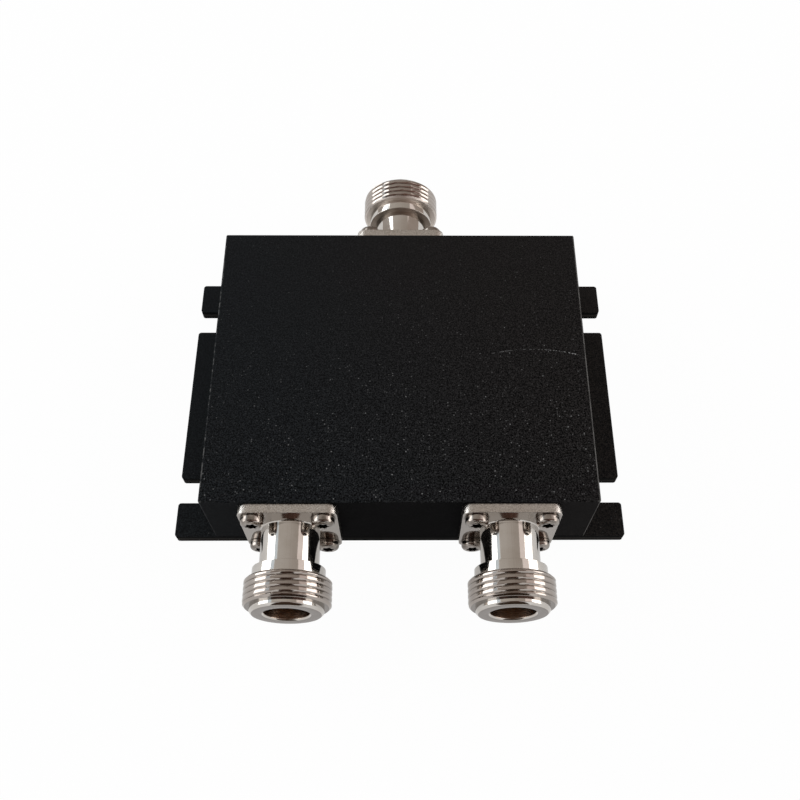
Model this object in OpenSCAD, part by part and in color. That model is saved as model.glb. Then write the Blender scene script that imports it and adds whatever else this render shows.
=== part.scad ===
// Two-way coaxial power splitter. A milled aluminium housing, open below, stands on a screwed base plate
// with notched ears. One threaded jack enters at the rear, two leave at the front, and a divider board
// hangs inside on bosses. Millimetres, +Z up, front towards -Y, origin under the middle of the base plate.

/* [Housing] */
// Width of the housing across its side walls
body_w = 71.5; // [68:0.5:84]
// Depth of the housing from its front face to its rear face
body_d = 59; // [52:0.5:74]
// Height of the housing above the base plate
body_h = 18.25; // [17.75:0.25:24]
// Thickness of the two side walls
side_wall = 4; // [3.8:0.1:5]
// Thickness of the front and rear walls, which carry the jacks
end_wall = 6; // [5.6:0.1:8]
// Thickness of the roof
roof = 3; // [2:0.1:4]
// Radius that the cutter leaves in the upright corners of the cavity
cavity_r = 2; // [1:0.25:3]
// Width of the broken edge round the roof and down the upright corners
edge_break = 0.3; // [0.1:0.05:0.6]

/* [Base plate] */
// Thickness of the base plate
plate_t = 2.4; // [1.6:0.1:3]
// Step from the housing's front and rear faces back to the edge of the plate
plate_setback = 0.1; // [0.05:0.05:0.4]
// Reach of each mounting ear beyond the side of the housing
ear_w = 8; // [6.5:0.25:11]
// Width of a mounting notch
notch_w = 5.2; // [4:0.1:5.6]
// Distance from the side of the housing to the centre of a notch's round end
notch_in = 3.5; // [3.2:0.1:4.5]
// Distance between the front and rear notches of an ear
notch_pitch = 39.6; // [34:0.2:44]
// Radius on the outer corners of the ears
tab_r = 0.6; // [0.4:0.1:1.4]

/* [Base plate screws] */
// Thread diameter of the countersunk screws
cover_screw_d = 3; // [2.5:0.1:3]
// Overall length of the countersunk screws
cover_screw_len = 8; // [6:0.5:10]
// Head diameter of the countersunk screws
cover_head_d = 5.5; // [4.6:0.1:5.8]
// Depth of the heads below the underside of the plate
cover_head_sunk = 0.1; // [0.05:0.05:0.3]
// Distance from the housing's outer faces to the corner screws
cover_inset = 4; // [3.8:0.1:4.4]

/* [Jacks] */
// Distance between the two output jacks
output_pitch = 40.2; // [36:0.2:42]
// Height of the jack axes above the base plate
jack_rise = 8.75; // [8.4:0.05:8.85]
// Side of the square flange
flange_w = 17.8; // [17:0.1:17.9]
// Thickness of the flange
flange_t = 1.8; // [1.5:0.1:2.2]
// Corner radius of the flange
flange_r = 1.6; // [0.8:0.1:2]
// Diameter of the neck behind the collar
neck_d = 10.9; // [10.4:0.1:12]
// Fillet between neck and flange
neck_fillet = 0.5; // [0.2:0.1:0.8]
// Distance from the wall of the housing to the collar
collar_start = 9.4; // [8:0.1:11]
// Diameter of the collar behind the thread
collar_d = 13.3; // [12.6:0.1:14]
// Length of the collar
collar_len = 2.1; // [1.5:0.1:3]
// Outside diameter of the coupling thread
thread_d = 15.875; // [15.6:0.025:16]
// Length of the coupling thread
thread_len = 4.9; // [4:0.1:6]
// Bevel at both ends of the thread
thread_bevel = 0.4; // [0.3:0.1:0.9]
// Diameter of the pilot ring in front of the thread
pilot_d = 13.4; // [12.6:0.1:13.8]
// Length of the pilot ring
pilot_len = 1.2; // [1:0.1:2]
// Bevel on the pilot ring's outer edge
pilot_bevel = 0.45; // [0.1:0.05:0.6]
// Diameter of the socket at its mouth
mouth_d = 8.7; // [8.5:0.1:9.2]
// Diameter of the socket's straight wall
socket_d = 8.1; // [8:0.05:8.2]
// Depth of the socket from the jack's face to the insulator
socket_depth = 9.1; // [8.8:0.1:9.4]

/* [Insulators and contacts] */
// Diameter of the insulator
insulator_d = 9.2; // [8.8:0.1:9.4]
// Radial clearance round the insulator and inside it
insulator_gap = 0.03; // [0.01:0.01:0.06]
// Thickness of the step that stops the contact at the insulator's inner end
insulator_step = 1; // [0.6:0.1:1.6]
// Diameter of the contact's slit socket
contact_d = 3.04; // [3:0.01:3.1]
// Distance of the contact's tip below the jack's face
contact_sunk = 3.9; // [3.7:0.1:4.3]
// Diameter of the contact inside the insulator
contact_body_d = 2.8; // [2.5:0.1:2.9]
// Diameter of the hole that takes the mating pin
pin_hole_d = 1.7; // [1.6:0.05:1.9]
// Depth of the hole that takes the mating pin
pin_hole_depth = 4.5; // [4:0.1:5]
// Width of the slits in the contact
slit_w = 0.35; // [0.25:0.05:0.5]
// Length of the slits in the contact
slit_len = 4; // [3:0.1:4.6]
// Diameter of the contact's solder tail
tail_d = 1.3; // [1:0.1:1.6]
// Length of the solder tail inside the cavity
tail_len = 4; // [3.8:0.1:5]

/* [Flange screws] */
// Distance between the screw holes along each side of a flange
flange_screw_pitch = 12.7; // [12.5:0.05:12.8]
// Thread diameter of the pan-head screws
pan_screw_d = 2.5; // [2.3:0.1:2.5]
// Head diameter of the pan-head screws
pan_head_d = 4.2; // [4:0.1:4.6]
// Head height of the pan-head screws
pan_head_h = 1.6; // [1.3:0.1:1.8]
// Radius round the top edge of the pan heads
pan_head_r = 0.8; // [0.3:0.1:0.8]
// Diameter of the six-lobe recess across its lobes
recess_d = 2.3; // [2:0.1:2.5]
// Diameter of the recess between its lobes
recess_core_d = 1.7; // [1.5:0.1:1.8]
// Diameter of each round lobe
recess_lobe_d = 0.55; // [0.45:0.05:0.65]
// Depth of the recess
recess_depth = 0.8; // [0.5:0.1:1]
// Shank length of the flange screws
flange_screw_len = 6; // [5:0.1:6.4]
// Radial clearance of a screw in its tapped hole
tapped_gap = 0.03; // [0.01:0.01:0.05]
// Radial clearance of a screw in a plain hole
plain_gap = 0.12; // [0.05:0.01:0.2]
// Depth left free past the end of a screw
tap_runout = 0.7; // [0.4:0.1:0.9]

/* [Divider board] */
// Space between the board's edge and the cavity walls
board_gap = 0.5; // [0.2:0.1:0.8]
// Thickness of the board
board_t = 1.2; // [0.8:0.1:1.6]
// Thickness of the copper tracks
copper_t = 0.07; // [0.04:0.01:0.14]
// Distance of the copper from the edge of the board
copper_edge = 0.5; // [0.2:0.1:0.8]
// Width of the input and output lines
line_w = 3; // [2:0.1:3.6]
// Width of the narrow divider arms
arm_w = 1.2; // [0.8:0.1:1.4]
// Distance of the arms' outer runs from the middle of the board
arm_reach = 14; // [10:0.5:15]
// Distance of the arms' inner ends from the middle of the board
arm_node = 1.4; // [1.3:0.05:1.6]
// Distance of the first rear run of the arms from the rear edge of the board
arm_start = 10; // [8:0.5:12]
// Front-to-back size of each divider loop
loop_d = 8; // [6:0.5:9]
// Distance between one loop, the next loop and the output lines
loop_gap = 4.4; // [4:0.1:5]
// Length of the isolation resistors
chip_l = 3.2; // [3:0.1:3.6]
// Width of the isolation resistors
chip_w = 1.6; // [1.2:0.1:2]
// Height of the isolation resistors
chip_h = 0.55; // [0.4:0.05:0.8]
// Diameter of the solder beads on the contact tails
solder_d = 2.4; // [2:0.1:2.8]
// Length of the solder beads
solder_len = 2.5; // [2:0.1:2.8]
// Thickness of the solder film between a tail and the copper
solder_film = 0.1; // [0.05:0.05:0.3]

/* [Board screws] */
// Diameter of the bosses that carry the board
boss_d = 6; // [5:0.1:7]
// Distance of the bosses from the side walls of the cavity
boss_in_x = 5; // [4:0.25:6]
// Distance of the bosses from the front and rear walls of the cavity
boss_in_y = 7; // [6:0.25:9]
// Shank length of the board screws
board_screw_len = 4.5; // [4:0.1:5]

/* [Hidden] */
$fn = 64;
slack = 0.5;
axis_z = plate_t + jack_rise;
housing_top = plate_t + body_h;
roof_z = housing_top - roof;
cavity_w = body_w - 2 * side_wall;
cavity_d = body_d - 2 * end_wall;
notch_x = body_w / 2 + notch_in;
ear_x = body_w / 2 + ear_w;
plate_d = body_d - 2 * plate_setback;

// Lengths along a jack, from the wall of the housing outwards
thread_start = collar_start + collar_len;
thread_end = thread_start + thread_len;
face_z = thread_end + pilot_len;
seat_z = face_z - socket_depth;
tip_z = face_z - contact_sunk;

// Heights of the board's layers, which hang copper side down over the solder tails
copper_z = axis_z + tail_d / 2 + solder_film;
board_z = copper_z + copper_t;
board_top = board_z + board_t;
board_w = cavity_w - 2 * board_gap;
board_d = cavity_d - 2 * board_gap;
pad_y = board_d / 2 - copper_edge;
boss_x = cavity_w / 2 - boss_in_x;
boss_y = cavity_d / 2 - boss_in_y;

// Runs of the two-stage divider, from the input at the rear to the outputs at the front
loop_1_rear = board_d / 2 - arm_start;
loop_1_front = loop_1_rear - loop_d;
loop_2_rear = loop_1_front - loop_gap;
loop_2_front = loop_2_rear - loop_d;
outlet_y = loop_2_front - loop_gap;

cover_screw_r = cover_screw_d / 2;
cover_cone_h = (cover_head_d - cover_screw_d) / 2;
cover_places = [
  for (x = [-1, 1], y = [-1, 1]) [x * (body_w / 2 - cover_inset), y * (body_d / 2 - cover_inset)],
  for (x = [-1, 1]) [x * (body_w - side_wall) / 2, 0]
];
boss_places = [for (x = [-1, 1], y = [-1, 1]) [x * boss_x, y * boss_y]];
flange_places = [for (x = [-1, 1], y = [-1, 1]) [x, y] * flange_screw_pitch / 2];

black_anodised = "#1b1b1c";
nickel = "#b8b3aa";
steel = "#8f8d89";
white_insulator = "#f1efe8";
gold = "#c8a04a";

// Rectangle with round corners, built from true arcs
module rounded_rect(w, d, r) {
  square([w - 2 * r, d], center = true);
  square([w, d - 2 * r], center = true);
  for (x = [-1, 1], y = [-1, 1])
    translate([x * (w / 2 - r), y * (d / 2 - r)])
      circle(r);
}

// Outline of the housing from one side, with its two upper corners broken
module broken_top(w) {
  polygon([
    [-w / 2, plate_t], [w / 2, plate_t], [w / 2, housing_top - edge_break],
    [w / 2 - edge_break, housing_top], [edge_break - w / 2, housing_top], [-w / 2, housing_top - edge_break]
  ]);
}

// Outline of the housing from above, with its four upright corners broken
module broken_plan() {
  x = body_w / 2;
  y = body_d / 2;
  c = edge_break;
  polygon([
    [c - x, -y], [x - c, -y], [x, c - y], [x, y - c], [x - c, y], [c - x, y], [-x, y - c], [-x, c - y]
  ]);
}

// Frames of the three jacks: local +Z points out of the wall, with zero on the wall's outer face
module at_input() {
  translate([0, body_d / 2, axis_z])
    rotate([-90, 0, 0])
      children();
}

module at_output(side) {
  translate([side * output_pitch / 2, -body_d / 2, axis_z])
    rotate([90, 0, 0])
      children();
}

module at_every_jack() {
  at_input() children();
  at_output(-1) children();
  at_output(1) children();
}

// Hole through the wall for one insulator, with the four tapped holes round it
module jack_cutouts() {
  tap_depth = flange_screw_len - flange_t + tap_runout;
  translate([0, 0, -end_wall - slack])
    cylinder(h = end_wall + 2 * slack, d = insulator_d + 2 * insulator_gap);
  for (p = flange_places)
    translate([p.x, p.y, -tap_depth])
      cylinder(h = tap_depth + slack, d = pan_screw_d + 2 * tapped_gap);
}

module housing_blank() {
  intersection() {
    linear_extrude(housing_top) broken_plan();
    rotate([90, 0, 0])
      linear_extrude(body_d + slack, center = true) broken_top(body_w);
    rotate([90, 0, 90])
      linear_extrude(body_w + slack, center = true) broken_top(body_d);
  }
}

module housing() {
  color(black_anodised)
    difference() {
      union() {
        difference() {
          housing_blank();
          translate([0, 0, plate_t - slack])
            linear_extrude(roof_z - plate_t + slack) rounded_rect(cavity_w, cavity_d, cavity_r);
        }
        for (p = boss_places)
          translate([p.x, p.y, board_top])
            cylinder(h = roof_z + roof / 2 - board_top, d = boss_d);
      }
      at_every_jack() jack_cutouts();
      for (p = cover_places)
        translate([p.x, p.y, plate_t - slack])
          cylinder(h = cover_head_sunk + cover_screw_len + tap_runout - plate_t + slack,
                   d = cover_screw_d + 2 * tapped_gap);
      for (p = boss_places)
        translate([p.x, p.y, board_top - slack])
          cylinder(h = board_screw_len - board_t + tap_runout + slack, d = pan_screw_d + 2 * tapped_gap);
    }
}

// One tab of an ear, from y0 to y1, with its two outer corners rounded
module ear_tab(y0, y1) {
  translate([0, y0])
    square([ear_x - tab_r, y1 - y0]);
  translate([0, y0 + tab_r])
    square([ear_x, y1 - y0 - 2 * tab_r]);
  for (y = [y0 + tab_r, y1 - tab_r])
    translate([ear_x - tab_r, y])
      circle(tab_r);
}

module plate_outline() {
  notch_edge = (notch_pitch - notch_w) / 2;
  difference() {
    union() {
      square([2 * notch_x, plate_d], center = true);
      for (turn = [0, 180])
        rotate(turn) {
          ear_tab(-plate_d / 2, -notch_edge - notch_w);
          ear_tab(-notch_edge, notch_edge);
          ear_tab(notch_edge + notch_w, plate_d / 2);
        }
    }
    for (x = [-1, 1], y = [-1, 1])
      translate([x * notch_x, y * notch_pitch / 2])
        circle(d = notch_w);
  }
}

// Seat for a countersunk head: a short straight lead, the cone and the plain hole
module countersink() {
  gap = plain_gap;
  rotate_extrude()
    polygon([
      [0, -slack], [cover_head_d / 2 + gap, -slack], [cover_head_d / 2 + gap, cover_head_sunk],
      [cover_screw_r + gap, cover_head_sunk + cover_cone_h], [cover_screw_r + gap, plate_t + slack],
      [0, plate_t + slack]
    ]);
}

module base_plate() {
  color(black_anodised)
    difference() {
      linear_extrude(plate_t) plate_outline();
      for (p = cover_places)
        translate([p.x, p.y, 0])
          countersink();
    }
}

// Six-lobe recess, sunk downwards from zero
module lobed_recess() {
  translate([0, 0, -recess_depth])
    linear_extrude(recess_depth + slack) {
      circle(d = recess_core_d);
      for (turn = [0 : 60 : 300])
        rotate(turn)
          translate([(recess_d - recess_lobe_d) / 2, 0])
            circle(d = recess_lobe_d);
    }
}

module countersunk_screw() {
  difference() {
    rotate_extrude()
      polygon([
        [0, cover_head_sunk], [cover_head_d / 2, cover_head_sunk],
        [cover_screw_r, cover_head_sunk + cover_cone_h],
        [cover_screw_r, cover_head_sunk + cover_screw_len], [0, cover_head_sunk + cover_screw_len]
      ]);
    translate([0, 0, cover_head_sunk])
      rotate([180, 0, 0])
        lobed_recess();
  }
}

module base_plate_screws() {
  color(steel)
    for (p = cover_places)
      translate([p.x, p.y, 0])
        countersunk_screw();
}

// Pan-head screw: head above zero with a round upper edge, shank below
module pan_screw(length) {
  head_flat = pan_head_d / 2 - pan_head_r;
  difference() {
    rotate_extrude() {
      translate([0, -length])
        square([pan_screw_d / 2, length + pan_head_h / 2]);
      square([pan_head_d / 2, pan_head_h - pan_head_r]);
      square([head_flat, pan_head_h]);
      intersection() {
        translate([head_flat, pan_head_h - pan_head_r])
          circle(pan_head_r);
        square([pan_head_d, pan_head_h]);
      }
    }
    translate([0, 0, pan_head_h])
      lobed_recess();
  }
}

module flange_screws() {
  color(steel)
    for (p = flange_places)
      translate([p.x, p.y, flange_t])
        pan_screw(flange_screw_len);
}

module input_flange_screws() {
  at_input() flange_screws();
}

module left_flange_screws() {
  at_output(-1) flange_screws();
}

module right_flange_screws() {
  at_output(1) flange_screws();
}

// Turned outside of a jack: filleted neck, collar, bevelled thread body and pilot ring
module jack_turning() {
  neck = neck_d / 2;
  collar = collar_d / 2;
  crest = thread_d / 2;
  pilot = pilot_d / 2;
  rotate_extrude() {
    square([neck, collar_start + collar_len / 2]);
    translate([0, collar_start])
      square([collar, collar_len + thread_bevel]);
    polygon([
      [0, thread_start], [crest - thread_bevel, thread_start], [crest, thread_start + thread_bevel],
      [crest, thread_end - thread_bevel], [crest - thread_bevel, thread_end], [0, thread_end]
    ]);
    polygon([
      [0, thread_end - thread_bevel], [pilot, thread_end - thread_bevel], [pilot, face_z - pilot_bevel],
      [pilot - pilot_bevel, face_z], [0, face_z]
    ]);
    difference() {
      translate([0, flange_t / 2])
        square([neck + neck_fillet, flange_t / 2 + neck_fillet]);
      translate([neck + neck_fillet, flange_t + neck_fillet])
        circle(neck_fillet);
    }
  }
}

// Inside of a jack: seat of the insulator, straight socket wall and a lead-in at the mouth
module jack_bore() {
  seat = insulator_d / 2 + insulator_gap;
  lead = (mouth_d - socket_d) / 2;
  rotate_extrude()
    polygon([
      [0, -slack], [seat, -slack], [seat, seat_z], [socket_d / 2, seat_z], [socket_d / 2, face_z - lead],
      [mouth_d / 2, face_z], [mouth_d / 2, face_z + slack], [0, face_z + slack]
    ]);
}

module jack_shell() {
  color(nickel)
    difference() {
      union() {
        linear_extrude(flange_t) rounded_rect(flange_w, flange_w, flange_r);
        jack_turning();
      }
      jack_bore();
      for (p = flange_places)
        translate([p.x, p.y, -slack])
          cylinder(h = flange_t + 2 * slack, d = pan_screw_d + 2 * plain_gap);
    }
}

module input_jack_shell() {
  at_input() jack_shell();
}

module left_jack_shell() {
  at_output(-1) jack_shell();
}

module right_jack_shell() {
  at_output(1) jack_shell();
}

// Insulator from the socket through the wall, stepped at its inner end to stop the contact
module jack_insulator() {
  bore = contact_body_d / 2 + insulator_gap;
  color(white_insulator)
    rotate_extrude()
      polygon([
        [tail_d / 2 + insulator_gap, -end_wall], [insulator_d / 2, -end_wall], [insulator_d / 2, seat_z],
        [bore, seat_z], [bore, insulator_step - end_wall],
        [tail_d / 2 + insulator_gap, insulator_step - end_wall]
      ]);
}

module input_jack_insulator() {
  at_input() jack_insulator();
}

module left_jack_insulator() {
  at_output(-1) jack_insulator();
}

module right_jack_insulator() {
  at_output(1) jack_insulator();
}

// Centre contact: slit socket, body inside the insulator and solder tail in the cavity
module jack_contact() {
  rim = (contact_d - pin_hole_d) / 4;
  color(gold)
    difference() {
      rotate_extrude()
        polygon([
          [0, -end_wall - tail_len], [tail_d / 2, -end_wall - tail_len],
          [tail_d / 2, insulator_step - end_wall], [contact_body_d / 2, insulator_step - end_wall],
          [contact_body_d / 2, seat_z], [contact_d / 2, seat_z], [contact_d / 2, tip_z - rim],
          [contact_d / 2 - rim, tip_z], [pin_hole_d / 2, tip_z], [pin_hole_d / 2, tip_z - pin_hole_depth],
          [0, tip_z - pin_hole_depth]
        ]);
      for (turn = [45, 135])
        rotate(turn)
          translate([-contact_d, -slit_w / 2, tip_z - slit_len])
            cube([2 * contact_d, slit_w, slit_len + slack]);
    }
}

module input_jack_contact() {
  at_input() jack_contact();
}

module left_jack_contact() {
  at_output(-1) jack_contact();
}

module right_jack_contact() {
  at_output(1) jack_contact();
}

module divider_board() {
  color("#2f5b3c")
    translate([0, 0, board_z])
      difference() {
        linear_extrude(board_t) rounded_rect(board_w, board_d, cavity_r);
        for (p = boss_places)
          translate([p.x, p.y, -slack])
            cylinder(h = board_t + 2 * slack, d = pan_screw_d + 2 * plain_gap);
      }
}

// Straight copper run of width w between two points that share an x or a y
module run(a, b, w) {
  translate([min(a.x, b.x) - w / 2, min(a.y, b.y) - w / 2])
    square([abs(a.x - b.x) + w, abs(a.y - b.y) + w]);
}

// One half of the divider: two folded arms in series, then the wide line to an output
module divider_half() {
  outlet_x = output_pitch / 2;
  arm = [
    [0, loop_1_rear], [arm_reach, loop_1_rear], [arm_reach, loop_1_front], [arm_node, loop_1_front],
    [arm_node, loop_2_rear], [arm_reach, loop_2_rear], [arm_reach, loop_2_front],
    [arm_node, loop_2_front], [arm_node, outlet_y]
  ];
  for (i = [0 : len(arm) - 2])
    run(arm[i], arm[i + 1], arm_w);
  run([arm_node + (line_w - arm_w) / 2, outlet_y], [outlet_x, outlet_y], line_w);
  run([outlet_x, outlet_y], [outlet_x, line_w / 2 - pad_y], line_w);
}

module copper_tracks() {
  color("#c88d52")
    translate([0, 0, copper_z])
      linear_extrude(copper_t) {
        run([0, loop_1_rear], [0, pad_y - line_w / 2], line_w);
        for (side = [0, 1])
          mirror([side, 0])
            divider_half();
      }
}

module isolation_resistors() {
  color("#2a2a2e")
    for (y = [(loop_1_front + loop_2_rear) / 2, (loop_2_front + outlet_y) / 2])
      translate([-chip_l / 2, y - chip_w / 2, copper_z - chip_h])
        cube([chip_l, chip_w, chip_h]);
}

// Solder round one tail, flat against the copper above it
module solder_bead() {
  start = end_wall + board_gap + copper_edge;
  difference() {
    translate([0, 0, -start - solder_len])
      cylinder(h = solder_len, d = solder_d);
    translate([0, 0, -start - solder_len - slack])
      cylinder(h = solder_len + 2 * slack, d = tail_d);
  }
}

module solder_beads() {
  color("#a9abad")
    difference() {
      at_every_jack() solder_bead();
      translate([-body_w / 2, -body_d / 2, copper_z])
        cube([body_w, body_d, solder_d]);
    }
}

module board_screws() {
  color(steel)
    for (p = boss_places)
      translate([p.x, p.y, board_z])
        rotate([180, 0, 0])
          pan_screw(board_screw_len);
}

housing();
base_plate();
base_plate_screws();
divider_board();
copper_tracks();
isolation_resistors();
solder_beads();
board_screws();
input_jack_shell();
input_jack_insulator();
input_jack_contact();
input_flange_screws();
left_jack_shell();
left_jack_insulator();
left_jack_contact();
left_flange_screws();
right_jack_shell();
right_jack_insulator();
right_jack_contact();
right_flange_screws();
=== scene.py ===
# Two-way coaxial power splitter: a black blasted housing on a notched base plate, with one threaded jack
# at the rear and two at the front. Metres, +Z up, front towards -Y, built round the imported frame.
from math import atan, cos, hypot, pi, radians, sin, sqrt

import bmesh
import bpy
from mathutils import Matrix, Vector


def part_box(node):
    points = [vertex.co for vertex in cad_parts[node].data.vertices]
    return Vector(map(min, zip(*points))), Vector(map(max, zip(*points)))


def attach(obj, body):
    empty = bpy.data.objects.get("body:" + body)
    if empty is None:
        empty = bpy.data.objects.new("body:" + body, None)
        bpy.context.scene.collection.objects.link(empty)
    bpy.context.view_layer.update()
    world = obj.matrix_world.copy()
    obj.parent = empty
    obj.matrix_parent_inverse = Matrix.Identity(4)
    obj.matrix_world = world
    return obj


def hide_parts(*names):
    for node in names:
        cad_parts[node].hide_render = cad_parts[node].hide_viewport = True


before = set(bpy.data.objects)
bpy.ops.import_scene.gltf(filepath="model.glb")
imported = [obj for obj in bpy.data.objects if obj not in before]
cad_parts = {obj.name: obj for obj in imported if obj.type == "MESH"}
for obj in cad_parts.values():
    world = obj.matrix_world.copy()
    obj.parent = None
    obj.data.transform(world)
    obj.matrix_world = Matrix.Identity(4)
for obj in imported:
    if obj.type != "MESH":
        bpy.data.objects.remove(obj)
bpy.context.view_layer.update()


# Base plate: aluminium sheet punched to outline, with two open notches in each ear, countersunk from
# below and black anodised. It closes the housing and carries the part on whatever it is screwed to.
MM = 0.001


def add_node(tree, kind, feeds=None, **settings):
    """Adds a node, sets its properties, and feeds its inputs with values or with other nodes' outputs."""
    node = tree.nodes.new(kind)
    for name, value in settings.items():
        setattr(node, name, value)
    for key, value in (feeds or {}).items():
        if isinstance(value, bpy.types.NodeSocket):
            tree.links.new(value, node.inputs[key])
        else:
            node.inputs[key].default_value = value
    return node


def calc(tree, operation, *operands):
    """Output of a math node on numbers or sockets."""
    return add_node(tree, "ShaderNodeMath", dict(enumerate(operands)), operation=operation).outputs[0]


def parts_of(tree, vector):
    """Outputs for the X, Y and Z of a vector."""
    return add_node(tree, "ShaderNodeSeparateXYZ", {0: vector}).outputs


def ramp(tree, value, start, end, low=0.0, high=1.0):
    """Smooth step of a value: low before start, high after end."""
    feeds = {"Value": value, "From Min": start, "From Max": end, "To Min": low, "To Max": high}
    return add_node(tree, "ShaderNodeMapRange", feeds, interpolation_type="SMOOTHSTEP").outputs[0]


def tint(tree, mask, under, over):
    """Colour that goes from under to over as the mask goes from 0 to 1."""
    return add_node(tree, "ShaderNodeMix", {0: mask, 6: under, 7: over}, data_type="RGBA").outputs[2]


def noise(tree, place, scale, detail=2.0):
    """Smooth noise between 0 and 1 with that many lumps to the metre."""
    feeds = {"Vector": place, "Scale": scale, "Detail": detail}
    return add_node(tree, "ShaderNodeTexNoise", feeds).outputs[0]


def new_group(name, inputs, outputs):
    """Empty shader group with named sockets; returns its tree, its inputs and its outputs."""
    tree = bpy.data.node_groups.new(name, "ShaderNodeTree")
    for socket, kind in inputs.items():
        tree.interface.new_socket(socket, in_out="INPUT", socket_type="NodeSocket" + kind)
    for socket in outputs:
        tree.interface.new_socket(socket, in_out="OUTPUT", socket_type="NodeSocketFloat")
    return tree, tree.nodes.new("NodeGroupInput").outputs, tree.nodes.new("NodeGroupOutput").inputs


def use_group(tree, group, place, **values):
    """Puts a shared shader group into a finish with its own values, where underscores stand for spaces;
    returns the group's outputs."""
    feeds = {name.replace("_", " "): value for name, value in values.items()}
    return add_node(tree, "ShaderNodeGroup", {"Place": place, **feeds}, node_tree=group).outputs


def new_finish(name, roughness, metallic=0.0, specular=0.5):
    """Material with its constants set; returns it with its tree, its shader and the place on the piece."""
    finish = bpy.data.materials.new(name)
    finish.use_nodes = True
    tree = finish.node_tree
    shader = tree.nodes["Principled BSDF"]
    shader.inputs["Roughness"].default_value = roughness
    shader.inputs["Metallic"].default_value = metallic
    shader.inputs["Specular IOR Level"].default_value = specular
    place = add_node(tree, "ShaderNodeTexCoord").outputs["Object"]
    return finish, tree, shader, place


def overlay(tree, shader, mask, colour):
    """Lays a colour over whatever colour a finish has, by a mask."""
    under = shader.inputs["Base Color"].links[0].from_socket
    tree.links.new(tint(tree, mask, under, colour), shader.inputs["Base Color"])


def set_relief(tree, shader, height, strength, depth):
    """Fine relief on a finish, from a height between 0 and 1."""
    bump = add_node(tree, "ShaderNodeBump", {"Height": height, "Strength": strength, "Distance": depth})
    tree.links.new(bump.outputs[0], shader.inputs["Normal"])


def build_metal_grain():
    """Pitted grain of a blasted or etched metal skin, with specks: most are dim, and a few are bright as
    painted glints."""
    tree, given, made = new_group(
        "metal_grain", {"Place": "Vector", "Pits per metre": "Float"}, ["Tone", "Specks"])
    pits = given["Pits per metre"]
    finer, grains_per_pit = 2.3, 0.85
    glint_rarity, dim_rarity, dim_level = 45.0, 7.0, 0.28
    coarse = noise(tree, given["Place"], pits)
    fine = noise(tree, given["Place"], calc(tree, "MULTIPLY", pits, finer))
    tone = calc(tree, "ADD", calc(tree, "MULTIPLY", coarse, 0.5), calc(tree, "MULTIPLY", fine, 0.5))
    tree.links.new(tone, made["Tone"])
    feeds = {"Vector": given["Place"], "Scale": calc(tree, "MULTIPLY", pits, grains_per_pit)}
    cells = add_node(tree, "ShaderNodeTexVoronoi", feeds)
    draw = add_node(tree, "ShaderNodeSeparateColor", {0: cells.outputs["Color"]}).outputs[0]
    dot = ramp(tree, cells.outputs["Distance"], 0.15, 0.5, 1.0, 0.0)
    # painted glints: the rare bright specks stand for light glinting off the blasted skin
    bright = calc(tree, "POWER", draw, glint_rarity)
    dim = calc(tree, "MULTIPLY", calc(tree, "POWER", draw, dim_rarity), dim_level)
    tree.links.new(calc(tree, "MULTIPLY", calc(tree, "MAXIMUM", bright, dim), dot), made["Specks"])
    return tree


def build_edge_wear_and_glint():
    """Mask along the straight outer edges of a box-shaped piece: worn in patches all round, where handling
    rubs the finish thin, and a painted highlight right along the edges on the right."""
    sizes = dict.fromkeys(("Half width", "Half depth", "Top", "Reach"), "Float")
    tree, given, made = new_group("edge_wear", {"Place": "Vector", **sizes}, ["Wear"])
    x, y, z = parts_of(tree, given["Place"])
    reach = given["Reach"]
    side_share, end_share, upright_share = 0.75, 0.06, 0.4
    patch_lumps, glint_break_lumps = 900.0, 400.0
    from_side = calc(tree, "SUBTRACT", given["Half width"], calc(tree, "ABSOLUTE", x))
    from_end = calc(tree, "SUBTRACT", given["Half depth"], calc(tree, "ABSOLUTE", y))
    from_top = calc(tree, "SUBTRACT", given["Top"], z)
    nearer = calc(tree, "MINIMUM", from_side, from_end)
    farther = calc(tree, "MAXIMUM", from_side, from_end)
    second_face = calc(tree, "MAXIMUM", nearer, calc(tree, "MINIMUM", farther, from_top))
    near_edge = ramp(tree, second_face, calc(tree, "MULTIPLY", reach, 0.5), reach, 1.0, 0.0)
    twice = calc(tree, "MULTIPLY", reach, 2.0)
    by_side = ramp(tree, from_side, reach, twice, side_share, end_share)
    by_height = ramp(tree, from_top, reach, twice, 1.0, upright_share)
    spots = ramp(tree, noise(tree, given["Place"], patch_lumps, 3.0), 0.45, 0.62)
    patches = calc(tree, "MULTIPLY", spots, calc(tree, "MULTIPLY", by_side, by_height))
    # painted highlight: a broken line right along the right-hand edges
    from_right = calc(tree, "SUBTRACT", given["Half width"], x)
    glint_breaks = ramp(tree, noise(tree, given["Place"], glint_break_lumps, 3.0), 0.35, 0.6, 0.55, 1.0)
    right_edge_glint = calc(tree, "MULTIPLY", ramp(tree, from_right, reach, twice, 1.0, 0.0), glint_breaks)
    rub_and_glint = calc(tree, "MAXIMUM", patches, right_edge_glint)
    tree.links.new(calc(tree, "MULTIPLY", near_edge, rub_and_glint), made["Wear"])
    return tree


metal_grain = build_metal_grain()
edge_wear = build_edge_wear_and_glint()


def across(tree, place, direction, reach, low=0.0, high=1.0):
    """Goes from low to high over the piece along a direction in plan."""
    feeds = {0: place, 1: (*direction, 0)}
    along = add_node(tree, "ShaderNodeVectorMath", feeds, operation="DOT_PRODUCT").outputs["Value"]
    return ramp(tree, along, -reach, reach, low, high)


def toward_ends(tree, place, half_width, low, high):
    """Goes from low in the middle of the width to high towards both ends."""
    aside = calc(tree, "ABSOLUTE", parts_of(tree, place)[0])
    return ramp(tree, aside, 0.4 * half_width, 0.75 * half_width, low, high)


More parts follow.
